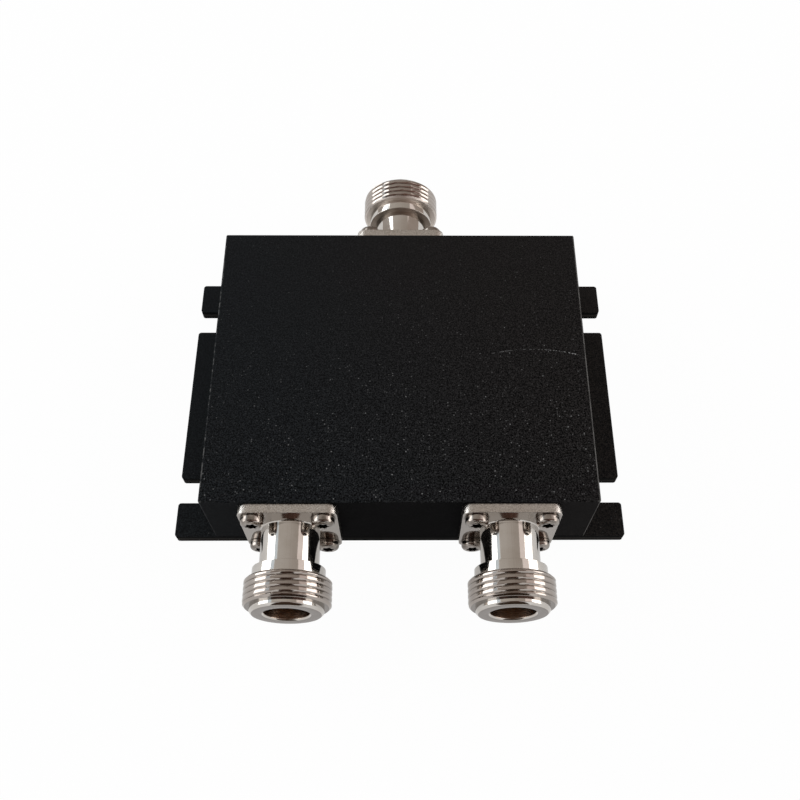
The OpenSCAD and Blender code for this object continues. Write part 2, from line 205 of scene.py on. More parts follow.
def worn_black(name, node_name, roughness, pits, dark, cool, warm, wall, bare, speck_and_glint, rubbed, ends_lit):
    """Black anodised finish for a CAD node: grained on level faces and smooth on upright ones, with painted
    side light that is bluish to one side and brownish to the other, specks with painted glints, a painted
    sheen that grows towards the front, rubbed edges with a painted highlight on the right, upright faces
    painted lighter towards both ends, and painted shade in a dark line along the foot."""
    low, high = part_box(node_name)
    to_front, to_right_rear = (0.35, -0.9), (0.8, 0.4)
    mottle_lumps, foot_start, foot_end = 250.0, 0.3 * MM, 0.7 * MM
    foot_shade_black, gloss_spread = (0.0005, 0.0005, 0.0005, 1), 0.08
    finish, tree, shader, place = new_finish(name, roughness, specular=0.02)
    grain = use_group(tree, metal_grain, place, Pits_per_metre=pits)
    wear_and_glint = use_group(tree, edge_wear, place, Half_width=high.x, Half_depth=high.y, Top=high.z, Reach=rubbed)
    normal = add_node(tree, "ShaderNodeNewGeometry").outputs["Normal"]
    level = ramp(tree, calc(tree, "ABSOLUTE", parts_of(tree, normal)[2]), 0.3, 0.8)
    # painted sheen: the grain's contrast and its glints grow towards the front
    front_sheen = across(tree, place, to_front, high.y, 0.35, 1.0)
    # painted side light: level faces go from the cool colour at the left to the warm colour at the right
    side_light_hue = tint(tree, across(tree, place, to_right_rear, high.y), cool, warm)
    contrast = calc(tree, "SUBTRACT", ramp(tree, grain["Tone"], 0.435, 0.585), 0.5)
    tone = calc(tree, "MULTIPLY_ADD", contrast, front_sheen, 0.5)
    specks_and_glints = calc(tree, "MULTIPLY", grain["Specks"], calc(tree, "MULTIPLY", front_sheen, front_sheen))
    with_specks_and_glints = tint(tree, specks_and_glints, tint(tree, tone, dark, side_light_hue), speck_and_glint)
    mottle = ramp(tree, noise(tree, place, mottle_lumps), 0.35, 0.65, 0.0, 0.35)
    smooth = tint(tree, mottle, wall, dark)
    # painted light: upright faces painted lighter towards both ends, where more side light falls
    if ends_lit:
        smooth = tint(tree, toward_ends(tree, place, high.x, 0.0, ends_lit), smooth, side_light_hue)
    # painted shade: a dark line along the foot, where the part meets the plate or the table
    foot = ramp(tree, parts_of(tree, place)[2], low.z + foot_start, low.z + foot_end, 1.0, 0.0)
    skin = tint(tree, level, tint(tree, foot, smooth, foot_shade_black), with_specks_and_glints)
    tree.links.new(tint(tree, wear_and_glint["Wear"], skin, bare), shader.inputs["Base Color"])
    rough = ramp(tree, grain["Tone"], 0.3, 0.7, roughness + gloss_spread, roughness - gloss_spread)
    tree.links.new(rough, shader.inputs["Roughness"])
    set_relief(tree, shader, calc(tree, "MULTIPLY", grain["Tone"], level), 0.6, 0.06 * MM)
    return finish, tree, shader, place


def plain_mesh(piece):
    """Mesh of a piece with its modifiers applied."""
    depsgraph = bpy.context.evaluated_depsgraph_get()
    done = piece.evaluated_get(depsgraph)
    return bpy.data.meshes.new_from_object(done, preserve_all_data_layers=True, depsgraph=depsgraph)


def new_piece(name, mesh):
    """Object at the origin with the mesh as it is."""
    piece = bpy.data.objects.new(name, mesh)
    bpy.context.scene.collection.objects.link(piece)
    return piece


def with_eased_edges(name, node_name, width):
    """Copy of a CAD node's mesh with its sharp edges eased by a small bevel."""
    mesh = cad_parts[node_name].data.copy()
    skin = bmesh.new()
    skin.from_mesh(mesh)
    bmesh.ops.remove_doubles(skin, verts=skin.verts, dist=1e-7)
    bmesh.ops.dissolve_limit(skin, angle_limit=radians(1), verts=skin.verts, edges=skin.edges)
    skin.to_mesh(mesh)
    skin.free()
    piece = new_piece(name, mesh)
    bevel = piece.modifiers.new("eased_edges", "BEVEL")
    bevel.width = width
    bevel.segments = 2
    bevel.limit_method = "ANGLE"
    bevel.angle_limit = radians(40)
    piece.data = plain_mesh(piece)
    piece.modifiers.clear()
    return piece


def add_edge_highlight(tree, shader, place, half_width, start, end, highlight_colour):
    """Painted highlight: a lighter line along a punched edge between two heights, fainter in the middle of
    the width."""
    height = parts_of(tree, place)[2]
    soft = 0.3 * MM
    above_start = ramp(tree, height, start, start + soft)
    below_end = ramp(tree, height, end - soft, end, 1.0, 0.0)
    line = calc(tree, "MULTIPLY", above_start, below_end)
    mask = calc(tree, "MULTIPLY", line, toward_ends(tree, place, half_width, 0.3, 1.0))
    overlay(tree, shader, mask, highlight_colour)


# painted light: cool to warm side light, and bare also paints the highlight along the right-hand edges
plate_finish, plate_tree, plate_shader, plate_place = worn_black(
    "plate_black", "base_plate", roughness=0.7, pits=3600, dark=(0.0042, 0.0044, 0.0048, 1),
    cool=(0.0175, 0.0200, 0.0220, 1), warm=(0.0230, 0.0195, 0.0178, 1), wall=(0.0015, 0.0015, 0.0016, 1),
    bare=(0.045, 0.045, 0.046, 1), speck_and_glint=(0.08, 0.08, 0.08, 1), rubbed=0.2 * MM, ends_lit=0.0)
# painted highlight in a lighter line along the plate's edge
add_edge_highlight(plate_tree, plate_shader, plate_place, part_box("base_plate")[1].x, 0.6 * MM, 1.7 * MM,
            highlight_colour=(0.0240, 0.0218, 0.0200, 1))
base_plate = with_eased_edges("base_plate_sheet", "base_plate", 0.15 * MM)
base_plate.data.materials.clear()
base_plate.data.materials.append(plate_finish)
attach(base_plate, "root")
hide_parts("base_plate")


# Housing: aluminium block milled hollow from below, sand-blasted to an even grain and black anodised.
# Its broken edges are rubbed lighter, with a painted highlight along the right-hand ones, and one hairline
# scratch crosses the roof at the right.
def dress(node_name, finish):
    """Gives a CAD node that keeps its shape its finish."""
    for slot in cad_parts[node_name].material_slots:
        slot.material = finish


def add_scratch(tree, shader, place, start, end, bow, width, bare):
    """Broken hairline scratch from start to end in plan, bowed aside, over the finish's colour."""
    run = Vector(end) - Vector(start)
    stretch_lumps, dot_lumps = 420.0, 3400.0
    turned_place = add_node(tree, "ShaderNodeMapping", {"Vector": place}, vector_type="TEXTURE")
    turned_place.inputs["Location"].default_value = (start[0], start[1], 0)
    turned_place.inputs["Rotation"].default_value = (0, 0, atan(run.y / run.x))
    along, beside, _ = parts_of(tree, turned_place.outputs[0])
    share = calc(tree, "DIVIDE", along, run.length)
    arch = calc(tree, "MULTIPLY", share, calc(tree, "SUBTRACT", 1.0, share))
    aside = calc(tree, "SUBTRACT", beside, calc(tree, "MULTIPLY", arch, 4 * bow))
    line = ramp(tree, calc(tree, "ABSOLUTE", aside), 0.4 * width, width, 1.0, 0.0)
    ends = calc(tree, "MULTIPLY", ramp(tree, share, 0.0, 0.05), ramp(tree, share, 0.97, 1.0, 1.0, 0.0))
    heavier = ramp(tree, share, 0.45, 0.75, 0.5, 1.0)
    stretches = ramp(tree, noise(tree, place, stretch_lumps), 0.4, 0.54, 0.45, 1.0)
    dots = ramp(tree, noise(tree, place, dot_lumps, 0.0), 0.49, 0.58)
    broken = calc(tree, "MULTIPLY", calc(tree, "MULTIPLY", dots, stretches), heavier)
    mask = calc(tree, "MULTIPLY", calc(tree, "MULTIPLY", line, ends), broken)
    overlay(tree, shader, mask, bare)


housing_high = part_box("housing")[1]
# painted light: cool to warm side light, lighter upright ends, and bare also paints the right-edge highlight
housing_finish, housing_tree, housing_shader, housing_place = worn_black(
    "blasted_black", "housing", roughness=0.75, pits=3300, dark=(0.0010, 0.0010, 0.0011, 1),
    cool=(0.0182, 0.0203, 0.0226, 1), warm=(0.0232, 0.0208, 0.0203, 1), wall=(0.0031, 0.0030, 0.0034, 1),
    bare=(0.105, 0.103, 0.100, 1), speck_and_glint=(0.22, 0.22, 0.22, 1), rubbed=0.36 * MM, ends_lit=0.4)
add_scratch(housing_tree, housing_shader, housing_place, (17.2 * MM, 0.9 * MM), (34.7 * MM, 0.6 * MM),
            bow=1.2 * MM, width=0.13 * MM, bare=(0.24, 0.24, 0.24, 1))
dress("housing", housing_finish)


# Base plate screws: six countersunk steel screws, cold-headed with a six-lobe recess and blackened, driven
# from below through the plate into the housing's walls.
def turned(outline, steps, ring=False):
    """Skin turned about +Z from (radius, height, form) points, where a form gives the reach of a row that
    isn't round at each angle; a ring's outline closes on itself."""
    skin = bmesh.new()
    rows = []
    for radius, height, form in outline:
        if radius == 0:
            rows.append([skin.verts.new((0, 0, height))] * steps)
            continue
        row = []
        for step in range(steps):
            angle = 2 * pi * step / steps
            reach = form(radius, angle) if form else radius
            row.append(skin.verts.new((reach * cos(angle), reach * sin(angle), height)))
        rows.append(row)
    followers = rows[1:] + rows[:1] if ring else rows[1:]
    for row, after in zip(rows, followers):
        for step in range(steps):
            beside = (step + 1) % steps
            corners = list(dict.fromkeys((row[step], row[beside], after[beside], after[step])))
            if len(corners) > 2:
                skin.faces.new(corners)
    bmesh.ops.recalc_face_normals(skin, faces=skin.faces)
    return skin


def eased(corners, steps=3):
    """Outline with each corner that states an easing rounded; corners are (radius, height, easing, form)."""
    outline = []
    count = len(corners)
    for i, (radius, height, ease, form) in enumerate(corners):
        here = Vector((radius, height))
        if not ease:
            outline.append((radius, height, form))
            continue
        before = Vector(corners[i - 1][:2])
        after = Vector(corners[(i + 1) % count][:2])
        first = here + (before - here).normalized() * ease
        last = here + (after - here).normalized() * ease
        for step in range(steps + 1):
            t = step / steps
            point = first * (1 - t) ** 2 + here * 2 * t * (1 - t) + last * t ** 2
            outline.append((point.x, point.y, form))
    return outline


def to_mesh(skin, name, sharp=35):
    """Finished mesh of a skin, smooth apart from its sharp edges."""
    mesh = bpy.data.meshes.new(name)
    skin.to_mesh(mesh)
    skin.free()
    mesh.shade_smooth()
    mesh.set_sharp_from_angle(angle=radians(sharp))
    return mesh


def six_lobes(radius, angle):
    """Reach of a six-lobe recess: round lobes on a smaller round core."""
    lobe_r, core_r = 0.24 * radius, 0.74 * radius
    off_lobe = (angle + pi / 6) % (pi / 3) - pi / 6
    middle = radius - lobe_r
    aside = middle * sin(off_lobe)
    if abs(aside) > lobe_r:
        return core_r
    return max(core_r, middle * cos(off_lobe) + sqrt(lobe_r ** 2 - aside ** 2))


recess_r = 1.15 * MM
recess_depth = 0.8 * MM
recess_bevel = 0.1 * MM
recess_floor_share, recess_wall_share, recess_mouth_share = 0.8, 0.97, 1.04
head_steps = 120


def new_screw(name, head_outline, top):
    """Screw with its recess sunk from the top of the head, and marked, as it keeps dirt and shade."""
    floor = top - recess_depth
    recess = [(0, floor, None), (recess_floor_share * recess_r, floor, six_lobes),
              (recess_wall_share * recess_r, top - recess_bevel, six_lobes),
              (recess_mouth_share * recess_r, top, six_lobes)]
    mesh = to_mesh(turned(recess + head_outline, head_steps), name)
    mark = mesh.attributes.new("recess", "FLOAT", "FACE")
    slack = 0.01 * MM
    for face, value in zip(mesh.polygons, mark.data):
        middle = face.center
        sunk = floor - slack < middle.z < top - slack
        value.value = 1.0 if sunk and middle.to_2d().length < recess_r else 0.0
    return new_piece(name, mesh)


def new_making(name, inputs):
    """Empty geometry tree with named inputs; returns its tree, its inputs and its outputs."""
    tree = bpy.data.node_groups.new(name, "GeometryNodeTree")
    tree.interface.new_socket("Geometry", in_out="INPUT", socket_type="NodeSocketGeometry")
    for socket, kind in inputs.items():
        tree.interface.new_socket(socket, in_out="INPUT", socket_type="NodeSocket" + kind)
    tree.interface.new_socket("Geometry", in_out="OUTPUT", socket_type="NodeSocketGeometry")
    return tree, tree.nodes.new("NodeGroupInput").outputs, tree.nodes.new("NodeGroupOutput").inputs


def make(piece, tree, **values):
    """Runs a geometry tree on a piece and leaves a plain mesh; underscores stand for spaces in the names."""
    step = piece.modifiers.new(tree.name, "NODES")
    step.node_group = tree
    for item in tree.interface.items_tree:
        key = item.name.replace(" ", "_")
        if item.in_out == "INPUT" and key in values:
            step[item.identifier] = values[key]
    mesh = plain_mesh(piece)
    piece.modifiers.clear()
    piece.data = mesh


def build_screw_setting():
    """Sets one screw on every point, each turned by chance about its own axis, as a driver leaves them."""
    tree, given, made = new_making(
        "screw_setting", {"Screw": "Object", "Lean": "Float", "Seed": "Int", "Finish": "Material"})
    screw = add_node(tree, "GeometryNodeObjectInfo", {"Object": given["Screw"], "As Instance": True})
    lean = add_node(tree, "ShaderNodeCombineXYZ", {"X": given["Lean"]})
    feeds = {"Points": given["Geometry"], "Instance": screw.outputs["Geometry"], "Rotation": lean.outputs[0]}
    placed = add_node(tree, "GeometryNodeInstanceOnPoints", feeds)
    chance = add_node(tree, "FunctionNodeRandomValue", {"Seed": given["Seed"]}, data_type="FLOAT")
    chance.inputs[3].default_value = pi / 2
    turn = add_node(tree, "ShaderNodeCombineXYZ", {"Z": chance.outputs[1]})
    feeds = {"Instances": placed.outputs[0], "Rotation": turn.outputs[0], "Local Space": True}
    driven = add_node(tree, "GeometryNodeRotateInstances", feeds)
    solid = add_node(tree, "GeometryNodeRealizeInstances", {"Geometry": driven.outputs[0]})
    feeds = {"Geometry": solid.outputs[0], "Material": given["Finish"]}
    tree.links.new(add_node(tree, "GeometryNodeSetMaterial", feeds).outputs[0], made["Geometry"])
    return tree


screw_setting = build_screw_setting()


def set_screws(name, node_name, places, screw, lean, seed, finish):
    """One group of like screws, standing for its CAD node."""
    points = bpy.data.meshes.new(name)
    points.from_pydata(places, [], [])
    group = new_piece(name, points)
    make(group, screw_setting, Screw=screw, Lean=lean, Seed=seed, Finish=finish)
    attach(group, "root")
    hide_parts(node_name)


def build_screw_finish(name, bright, dull, recess_dark, roughness):
    """Plated steel of a screw: grained, duller in patches, and dark inside the recess."""
    finish, tree, shader, place = new_finish(name, roughness, metallic=1.0)
    grain = use_group(tree, metal_grain, place, Pits_per_metre=6000)
    patch_lumps = 800.0
    patches = ramp(tree, noise(tree, place, patch_lumps), 0.35, 0.65)
    recess = add_node(tree, "ShaderNodeAttribute", attribute_name="recess").outputs["Fac"]
    plated = tint(tree, patches, bright, dull)
    tree.links.new(tint(tree, recess, plated, recess_dark), shader.inputs["Base Color"])
    rough = ramp(tree, grain["Tone"], 0.3, 0.7, roughness - 0.06, roughness + 0.08)
    tree.links.new(rough, shader.inputs["Roughness"])
    set_relief(tree, shader, grain["Tone"], 0.12, 0.03 * MM)
    return finish


cover_head_r = 2.75 * MM
cover_shank_r = 1.5 * MM
cover_sunk = 0.1 * MM
cover_length = 8 * MM
cover_cone = cover_head_r - cover_shank_r
cover_rim = 0.12 * MM
shank_bevel = 0.3 * MM
cover_corner = (31.75 * MM, 25.5 * MM)
cover_side = 33.75 * MM
cover_places = [(x * cover_corner[0], y * cover_corner[1], cover_sunk) for x in (-1, 1) for y in (-1, 1)]
cover_places += [(x * cover_side, 0, cover_sunk) for x in (-1, 1)]
cover_outline = eased([
    (1.3 * recess_r, 0, 0, None), (cover_head_r, 0, cover_rim, None), (cover_head_r, -cover_rim, 0, None),
    (cover_shank_r, -cover_cone, 0.1 * MM, None), (cover_shank_r, shank_bevel - cover_length, 0, None),
    (cover_shank_r - shank_bevel, -cover_length, 0, None), (0, -cover_length, 0, None)])
cover_screw = new_screw("countersunk_screw", cover_outline, 0)
blackened = build_screw_finish(
    "blackened_steel", (0.10, 0.10, 0.105, 1), (0.06, 0.06, 0.065, 1), (0.02, 0.02, 0.02, 1), 0.38)
set_screws("base_plate_screw_set", "base_plate_screws", cover_places, cover_screw, lean=pi,
           seed=3, finish=blackened)
bpy.data.objects.remove(cover_screw)


# Divider board: glass-laminate board with printed copper lines of a two-stage divider, two chip resistors,
# solder on the three contact tails and four screws into the housing's bosses. Closed in, out of sight.
def build_plain_finish(name, first, second, lumps, roughness, metallic=0.0):
    """Mottled finish of an inner piece: two colours in soft patches, with the same patches in its gloss."""
    finish, tree, shader, place = new_finish(name, roughness, metallic)
    patches = noise(tree, place, lumps, 4.0)
    tree.links.new(tint(tree, ramp(tree, patches, 0.35, 0.65), first, second), shader.inputs["Base Color"])
    rough = ramp(tree, patches, 0.3, 0.7, roughness - 0.06, roughness + 0.06)
    tree.links.new(rough, shader.inputs["Roughness"])
    set_relief(tree, shader, patches, 0.15, 0.04 * MM)
    return finish


dress("divider_board", build_plain_finish(
    "board_laminate", (0.020, 0.085, 0.035, 1), (0.030, 0.110, 0.048, 1), 2500.0, 0.45))
dress("copper_tracks", build_plain_finish(
    "board_copper", (0.55, 0.24, 0.11, 1), (0.62, 0.30, 0.15, 1), 900.0, 0.35, 1.0))
dress("isolation_resistors", build_plain_finish(
    "resistor_ceramic", (0.015, 0.015, 0.017, 1), (0.030, 0.030, 0.033, 1), 3000.0, 0.4))
dress("solder_beads", build_plain_finish(
    "solder", (0.50, 0.51, 0.52, 1), (0.62, 0.62, 0.62, 1), 1200.0, 0.3, 1.0))
zinc_steel = build_screw_finish(
    "zinc_steel", (0.36, 0.325, 0.295, 1), (0.21, 0.185, 0.165, 1), (0.006, 0.005, 0.004, 1), 0.17)
dress("board_screws", zinc_steel)


# Jack shells: brass turned from bar with a square flange, a 24-per-inch coupling thread cut on the front
# and a smooth socket inside, then nickel plated. Each is screwed by its flange to a wall of the housing.
shell_low, shell_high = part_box("left_jack_shell")
axis_height = (shell_low.z + shell_high.z) / 2
flange_half = (shell_high.z - shell_low.z) / 2
face = shell_high.y - shell_low.y
output_x = abs(shell_low.x + shell_high.x) / 2
screw_reach = 12.7 / 2 * MM
flange_thick = 1.8 * MM
flange_corner = 1.6 * MM
neck_r = 5.45 * MM
neck_fillet = 0.5 * MM
collar_r = 6.65 * MM
collar_start = 9.4 * MM
thread_start = 11.5 * MM
thread_end = 16.4 * MM
thread_bevel = 0.4 * MM
crest_r = 15.875 / 2 * MM
thread_pitch = 25.4 / 24 * MM
thread_depth = 0.2 * MM
pilot_r = 6.7 * MM
pilot_bevel = 0.45 * MM
mouth_r = 4.35 * MM
socket_r = 4.05 * MM
seat_r = 4.63 * MM
seat_depth = 8.5 * MM
edge = 0.08 * MM
shell_steps = 240


def flange_square(half, angle):
    """Reach of the square flange with its round corners."""
    off_axis = angle % (pi / 2)
    folded = min(off_axis, pi / 2 - off_axis)
    straight = half - flange_corner
    if half * sin(folded) <= straight * cos(folded):
        return half / cos(folded)
    to_corner = sqrt(2) * straight
    turn = folded - pi / 4
    return to_corner * cos(turn) + sqrt(flange_corner ** 2 - (to_corner * sin(turn)) ** 2)


def shell_outline():
    """Section of a shell from its seat on the wall outwards and back down the socket."""
    bevel_r = crest_r - thread_bevel
    rows = eased([
        (seat_r, 0, 0, None),
        (flange_half, 0, 2 * edge, flange_square), (flange_half, flange_thick, 2 * edge, flange_square),
        (neck_r, flange_thick, neck_fillet, None),
        (neck_r, collar_start, 0, None), (collar_r, collar_start, edge, None),
        (collar_r, thread_start, 0, None), (bevel_r, thread_start, edge, None),
        (crest_r, thread_start + thread_bevel, edge, None), (crest_r, thread_end - thread_bevel, edge, None),
        (bevel_r, thread_end, edge, None), (pilot_r, thread_end, 0, None),
        (pilot_r, face - pilot_bevel, edge, None), (pilot_r - pilot_bevel, face, edge, None),
        (mouth_r, face, edge, None), (socket_r, face - (mouth_r - socket_r), edge, None),
        (socket_r, seat_depth, 0, None), (seat_r, seat_depth, 0, None)])
    outline = []
    longest = thread_pitch / 18
    for here, after in zip(rows, rows[1:] + rows[:1]):
        outline.append(here)
        on_thread = min(here[0], after[0]) > collar_r and min(here[1], after[1]) >= thread_start
        length = hypot(after[0] - here[0], after[1] - here[1])
        pieces = int(length / longest) + 1 if on_thread else 1
        for step in range(1, pieces):
            share = step / pieces
            radius = here[0] + (after[0] - here[0]) * share
            height = here[1] + (after[1] - here[1]) * share
            outline.append((radius, height, None))
    return outline


def build_thread_cutting():
    """Cuts a helical groove into a turned blank between two heights, marking the groove and the bore."""
    sizes = ["Thread start", "Thread end", "Crest radius", "Pitch", "Depth", "Socket radius"]
    tree, given, made = new_making(
        "thread_cutting", {**dict.fromkeys(sizes, "Float"), "Finish": "Material"})
    groove_share, run_out_share, shell_share, lip_share = 0.54, 0.25, 0.8, 1.015
    x, y, z = parts_of(tree, add_node(tree, "GeometryNodeInputPosition").outputs[0])
    turn = calc(tree, "DIVIDE", calc(tree, "ARCTAN2", y, x), 2 * pi)
    squares = calc(tree, "ADD", calc(tree, "MULTIPLY", x, x), calc(tree, "MULTIPLY", y, y))
    radius = calc(tree, "SQRT", squares)
    phase = calc(tree, "FRACT", calc(tree, "SUBTRACT", calc(tree, "DIVIDE", z, given["Pitch"]), turn))
    from_root = calc(tree, "ABSOLUTE", calc(tree, "SUBTRACT", calc(tree, "MULTIPLY", phase, 2.0), 1.0))
    slope = calc(tree, "SUBTRACT", 1.0, calc(tree, "DIVIDE", from_root, groove_share))
    groove = calc(tree, "MAXIMUM", slope, 0.0)
    run_out = calc(tree, "MULTIPLY", given["Pitch"], run_out_share)
    before_end = calc(tree, "SUBTRACT", given["Thread end"], run_out)
    entry = ramp(tree, z, before_end, given["Thread end"], 1.0, 0.0)
    tail = ramp(tree, z, given["Thread start"], calc(tree, "ADD", given["Thread start"], run_out))
    share = calc(tree, "MULTIPLY", groove, calc(tree, "MULTIPLY", entry, tail))
    floor = calc(tree, "SUBTRACT", given["Crest radius"], calc(tree, "MULTIPLY", share, given["Depth"]))
    cut = calc(tree, "DIVIDE", calc(tree, "MINIMUM", radius, floor), radius)
    feeds = {"X": calc(tree, "MULTIPLY", x, cut), "Y": calc(tree, "MULTIPLY", y, cut), "Z": z}
    moved = add_node(tree, "ShaderNodeCombineXYZ", feeds)
    inner_limit = calc(tree, "MULTIPLY", given["Crest radius"], shell_share)
    outer_share = calc(tree, "MULTIPLY", share, calc(tree, "GREATER_THAN", radius, inner_limit))
    marked = {"data_type": "FLOAT", "domain": "POINT"}
    feeds = {"Geometry": given["Geometry"], "Name": "groove", "Value": outer_share}
    mark = add_node(tree, "GeometryNodeStoreNamedAttribute", feeds, **marked)
    lip = calc(tree, "MULTIPLY", given["Socket radius"], lip_share)
    inside = ramp(tree, radius, given["Socket radius"], lip, 1.0, 0.0)
    feeds = {"Geometry": mark.outputs[0], "Name": "bore", "Value": inside}
    bore = add_node(tree, "GeometryNodeStoreNamedAttribute", feeds, **marked)
    feeds = {"Geometry": bore.outputs[0], "Position": moved.outputs[0],
             "Selection": calc(tree, "GREATER_THAN", z, given["Thread start"])}
    threaded = add_node(tree, "GeometryNodeSetPosition", feeds)
    solid = add_node(tree, "GeometryNodeRealizeInstances", {"Geometry": threaded.outputs[0]})
    feeds = {"Geometry": solid.outputs[0], "Material": given["Finish"]}
    tree.links.new(add_node(tree, "GeometryNodeSetMaterial", feeds).outputs[0], made["Geometry"])
    return tree


def build_turned_rings():
    """Feed marks of a turning tool: fine rings along the jack's axis, which lies along Y."""
    tree, given, made = new_group(
        "turned_rings", {"Place": "Vector", "Rings per metre": "Float"}, ["Rings"])
    along = parts_of(tree, given["Place"])[1]
    line = add_node(tree, "ShaderNodeCombineXYZ", {"Y": along}).outputs[0]
    tree.links.new(noise(tree, line, given["Rings per metre"], 3.0), made["Rings"])
    return tree


turned_rings = build_turned_rings()


def near_screws(tree, place, reach):
    """Mask round the four screw heads of every flange, folded on to one corner of one flange."""
    x, y, z = parts_of(tree, place)
    jack_x = calc(tree, "MULTIPLY", calc(tree, "LESS_THAN", y, 0.0), output_x)
    aside = calc(tree, "ABSOLUTE", calc(tree, "SUBTRACT", calc(tree, "ABSOLUTE", x), jack_x))
    above = calc(tree, "ABSOLUTE", calc(tree, "SUBTRACT", z, axis_height))
    off_x = calc(tree, "SUBTRACT", aside, screw_reach)
    off_z = calc(tree, "SUBTRACT", above, screw_reach)
    offset = add_node(tree, "ShaderNodeCombineXYZ", {"X": off_x, "Y": off_z}).outputs[0]
    away = add_node(tree, "ShaderNodeVectorMath", {0: offset}, operation="LENGTH").outputs["Value"]
    return ramp(tree, away, 0.85 * reach, reach, 1.0, 0.0)


def build_nickel():
    """Bright nickel over turned brass: mirror-like on the turned parts, greyer on the thread, brown on the
    shoulders, satin on the flange, darker in the thread's grooves and tarnished inside; painted shade greys
    the faces cut square and the flange's front and darkens a ring round the screws."""
    clear, warm, grime_and_shade = (0.60, 0.57, 0.535, 1), (0.56, 0.525, 0.485, 1), (0.11, 0.095, 0.08, 1)
    thread_grey = (0.395, 0.353, 0.322, 1)
    shaded_face_grey, shaded_flange_grey = (0.195, 0.170, 0.152, 1), (0.34, 0.308, 0.282, 1)
    shoulder_grey, corner_brown = (0.85, 0.775, 0.71, 1), (0.44, 0.375, 0.32, 1)
    tarnish, tarnish_light = (0.30, 0.215, 0.16, 1), (0.50, 0.39, 0.31, 1)
    cloud_lumps, streak_lumps, screw_shade_reach = 300.0, 600.0, 2.5 * MM
    finish, tree, shader, place = new_finish("nickel_plate", 0.1, metallic=1.0)
    rings = use_group(tree, turned_rings, place, Rings_per_metre=7000)["Rings"]
    grain = use_group(tree, metal_grain, place, Pits_per_metre=4000)["Tone"]
    groove = add_node(tree, "ShaderNodeAttribute", attribute_name="groove").outputs["Fac"]
    bore = add_node(tree, "ShaderNodeAttribute", attribute_name="bore").outputs["Fac"]
    along = parts_of(tree, place)[1]
    from_wall = calc(tree, "SUBTRACT", calc(tree, "ABSOLUTE", along), housing_high.y)
    on_flange = ramp(tree, from_wall, flange_thick, flange_thick + 0.2 * MM, 1.0, 0.0)
    normal = add_node(tree, "ShaderNodeNewGeometry").outputs["Normal"]
    outward = calc(tree, "MULTIPLY", parts_of(tree, normal)[1], calc(tree, "SIGN", along))
    outer_face = ramp(tree, outward, 0.85, 0.97)
    shoulder = ramp(tree, outward, -0.85, -0.5, 1.0, 0.0)
    below_collar = ramp(tree, from_wall, collar_start + 0.3 * MM, collar_start + 0.9 * MM, 1.0, 0.0)
    past_start = ramp(tree, from_wall, thread_start - edge, thread_start + edge)
    before_end = ramp(tree, from_wall, thread_end - edge, thread_end + edge, 1.0, 0.0)
    bright = tint(tree, ramp(tree, noise(tree, place, cloud_lumps, 3.0), 0.35, 0.65), clear, warm)
    plated = tint(tree, calc(tree, "MULTIPLY", past_start, before_end), bright, thread_grey)
    dulled_brown = tint(tree, below_collar, shoulder_grey, corner_brown)
    # painted shade: faces cut square and the flange's front are a darker grey, for the shaded floor they
    # mirror
    shaded_faces = tint(tree, on_flange, shaded_face_grey, shaded_flange_grey)
    turned_skin = tint(tree, shoulder, tint(tree, outer_face, plated, shaded_faces), dulled_brown)
    flange_front = calc(tree, "MULTIPLY", on_flange, outer_face)
    flange_rim = calc(tree, "SUBTRACT", on_flange, flange_front)
    speckle = calc(tree, "MULTIPLY", flange_rim, ramp(tree, grain, 0.4, 0.62))
    # painted shade: a dark ring round the screw heads on the flange
    screw_shade = calc(tree, "MULTIPLY", near_screws(tree, place, screw_shade_reach), on_flange)
    in_grooves = calc(tree, "MULTIPLY", ramp(tree, groove, 0.5, 1.0), 0.5)
    # darker thread grooves, and the painted shade round the screws
    dirt = calc(tree, "MAXIMUM", in_grooves, calc(tree, "MULTIPLY", screw_shade, 0.8))
    darkened_and_shaded = calc(tree, "MAXIMUM", dirt, calc(tree, "MULTIPLY", speckle, 0.4))
    outside = tint(tree, darkened_and_shaded, turned_skin, grime_and_shade)
    streaks = ramp(tree, noise(tree, place, streak_lumps), 0.45, 0.7)
    inside = tint(tree, streaks, tarnish, tarnish_light)
    tree.links.new(tint(tree, bore, outside, inside), shader.inputs["Base Color"])
    polish = ramp(tree, rings, 0.3, 0.7, 0.05, 0.12)
    cut_face = calc(tree, "SUBTRACT", calc(tree, "MAXIMUM", on_flange, outer_face), flange_front)
    satin = calc(tree, "MULTIPLY", cut_face, 0.16)
    dulled = calc(tree, "MAXIMUM", calc(tree, "MULTIPLY", shoulder, 0.4), calc(tree, "MULTIPLY", bore, 0.16))
    rough = calc(tree, "ADD", polish, calc(tree, "ADD", satin, dulled))
    tree.links.new(rough, shader.inputs["Roughness"])
    height = calc(tree, "MULTIPLY_ADD", rings, 0.05, speckle)
    set_relief(tree, shader, height, 0.7, 0.02 * MM)
    return finish


thread_cutting = build_thread_cutting()
nickel = build_nickel()


def on_wall(x, side):
    """Place of a jack: local +Z points out of the wall, towards the front for side -1 and the rear for 1."""
    seat = Matrix.Translation((x, side * housing_high.y, axis_height))
    return seat @ Matrix.Rotation(-side * pi / 2, 4, "X")


jacks = {"input": on_wall(0, 1), "left": on_wall(-output_x, -1), "right": on_wall(output_x, -1)}
for jack, seat in jacks.items():
    name = jack + "_jack_body"
    shell = new_piece(name, to_mesh(turned(shell_outline(), shell_steps, ring=True), name))
    make(shell, thread_cutting, Thread_start=thread_start, Thread_end=thread_end, Crest_radius=crest_r,
         Pitch=thread_pitch, Depth=thread_depth, Socket_radius=socket_r, Finish=nickel)
    shell.data.set_sharp_from_angle(angle=radians(25))
    shell.data.transform(seat)
    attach(shell, "root")
    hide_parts(jack + "_jack_shell")


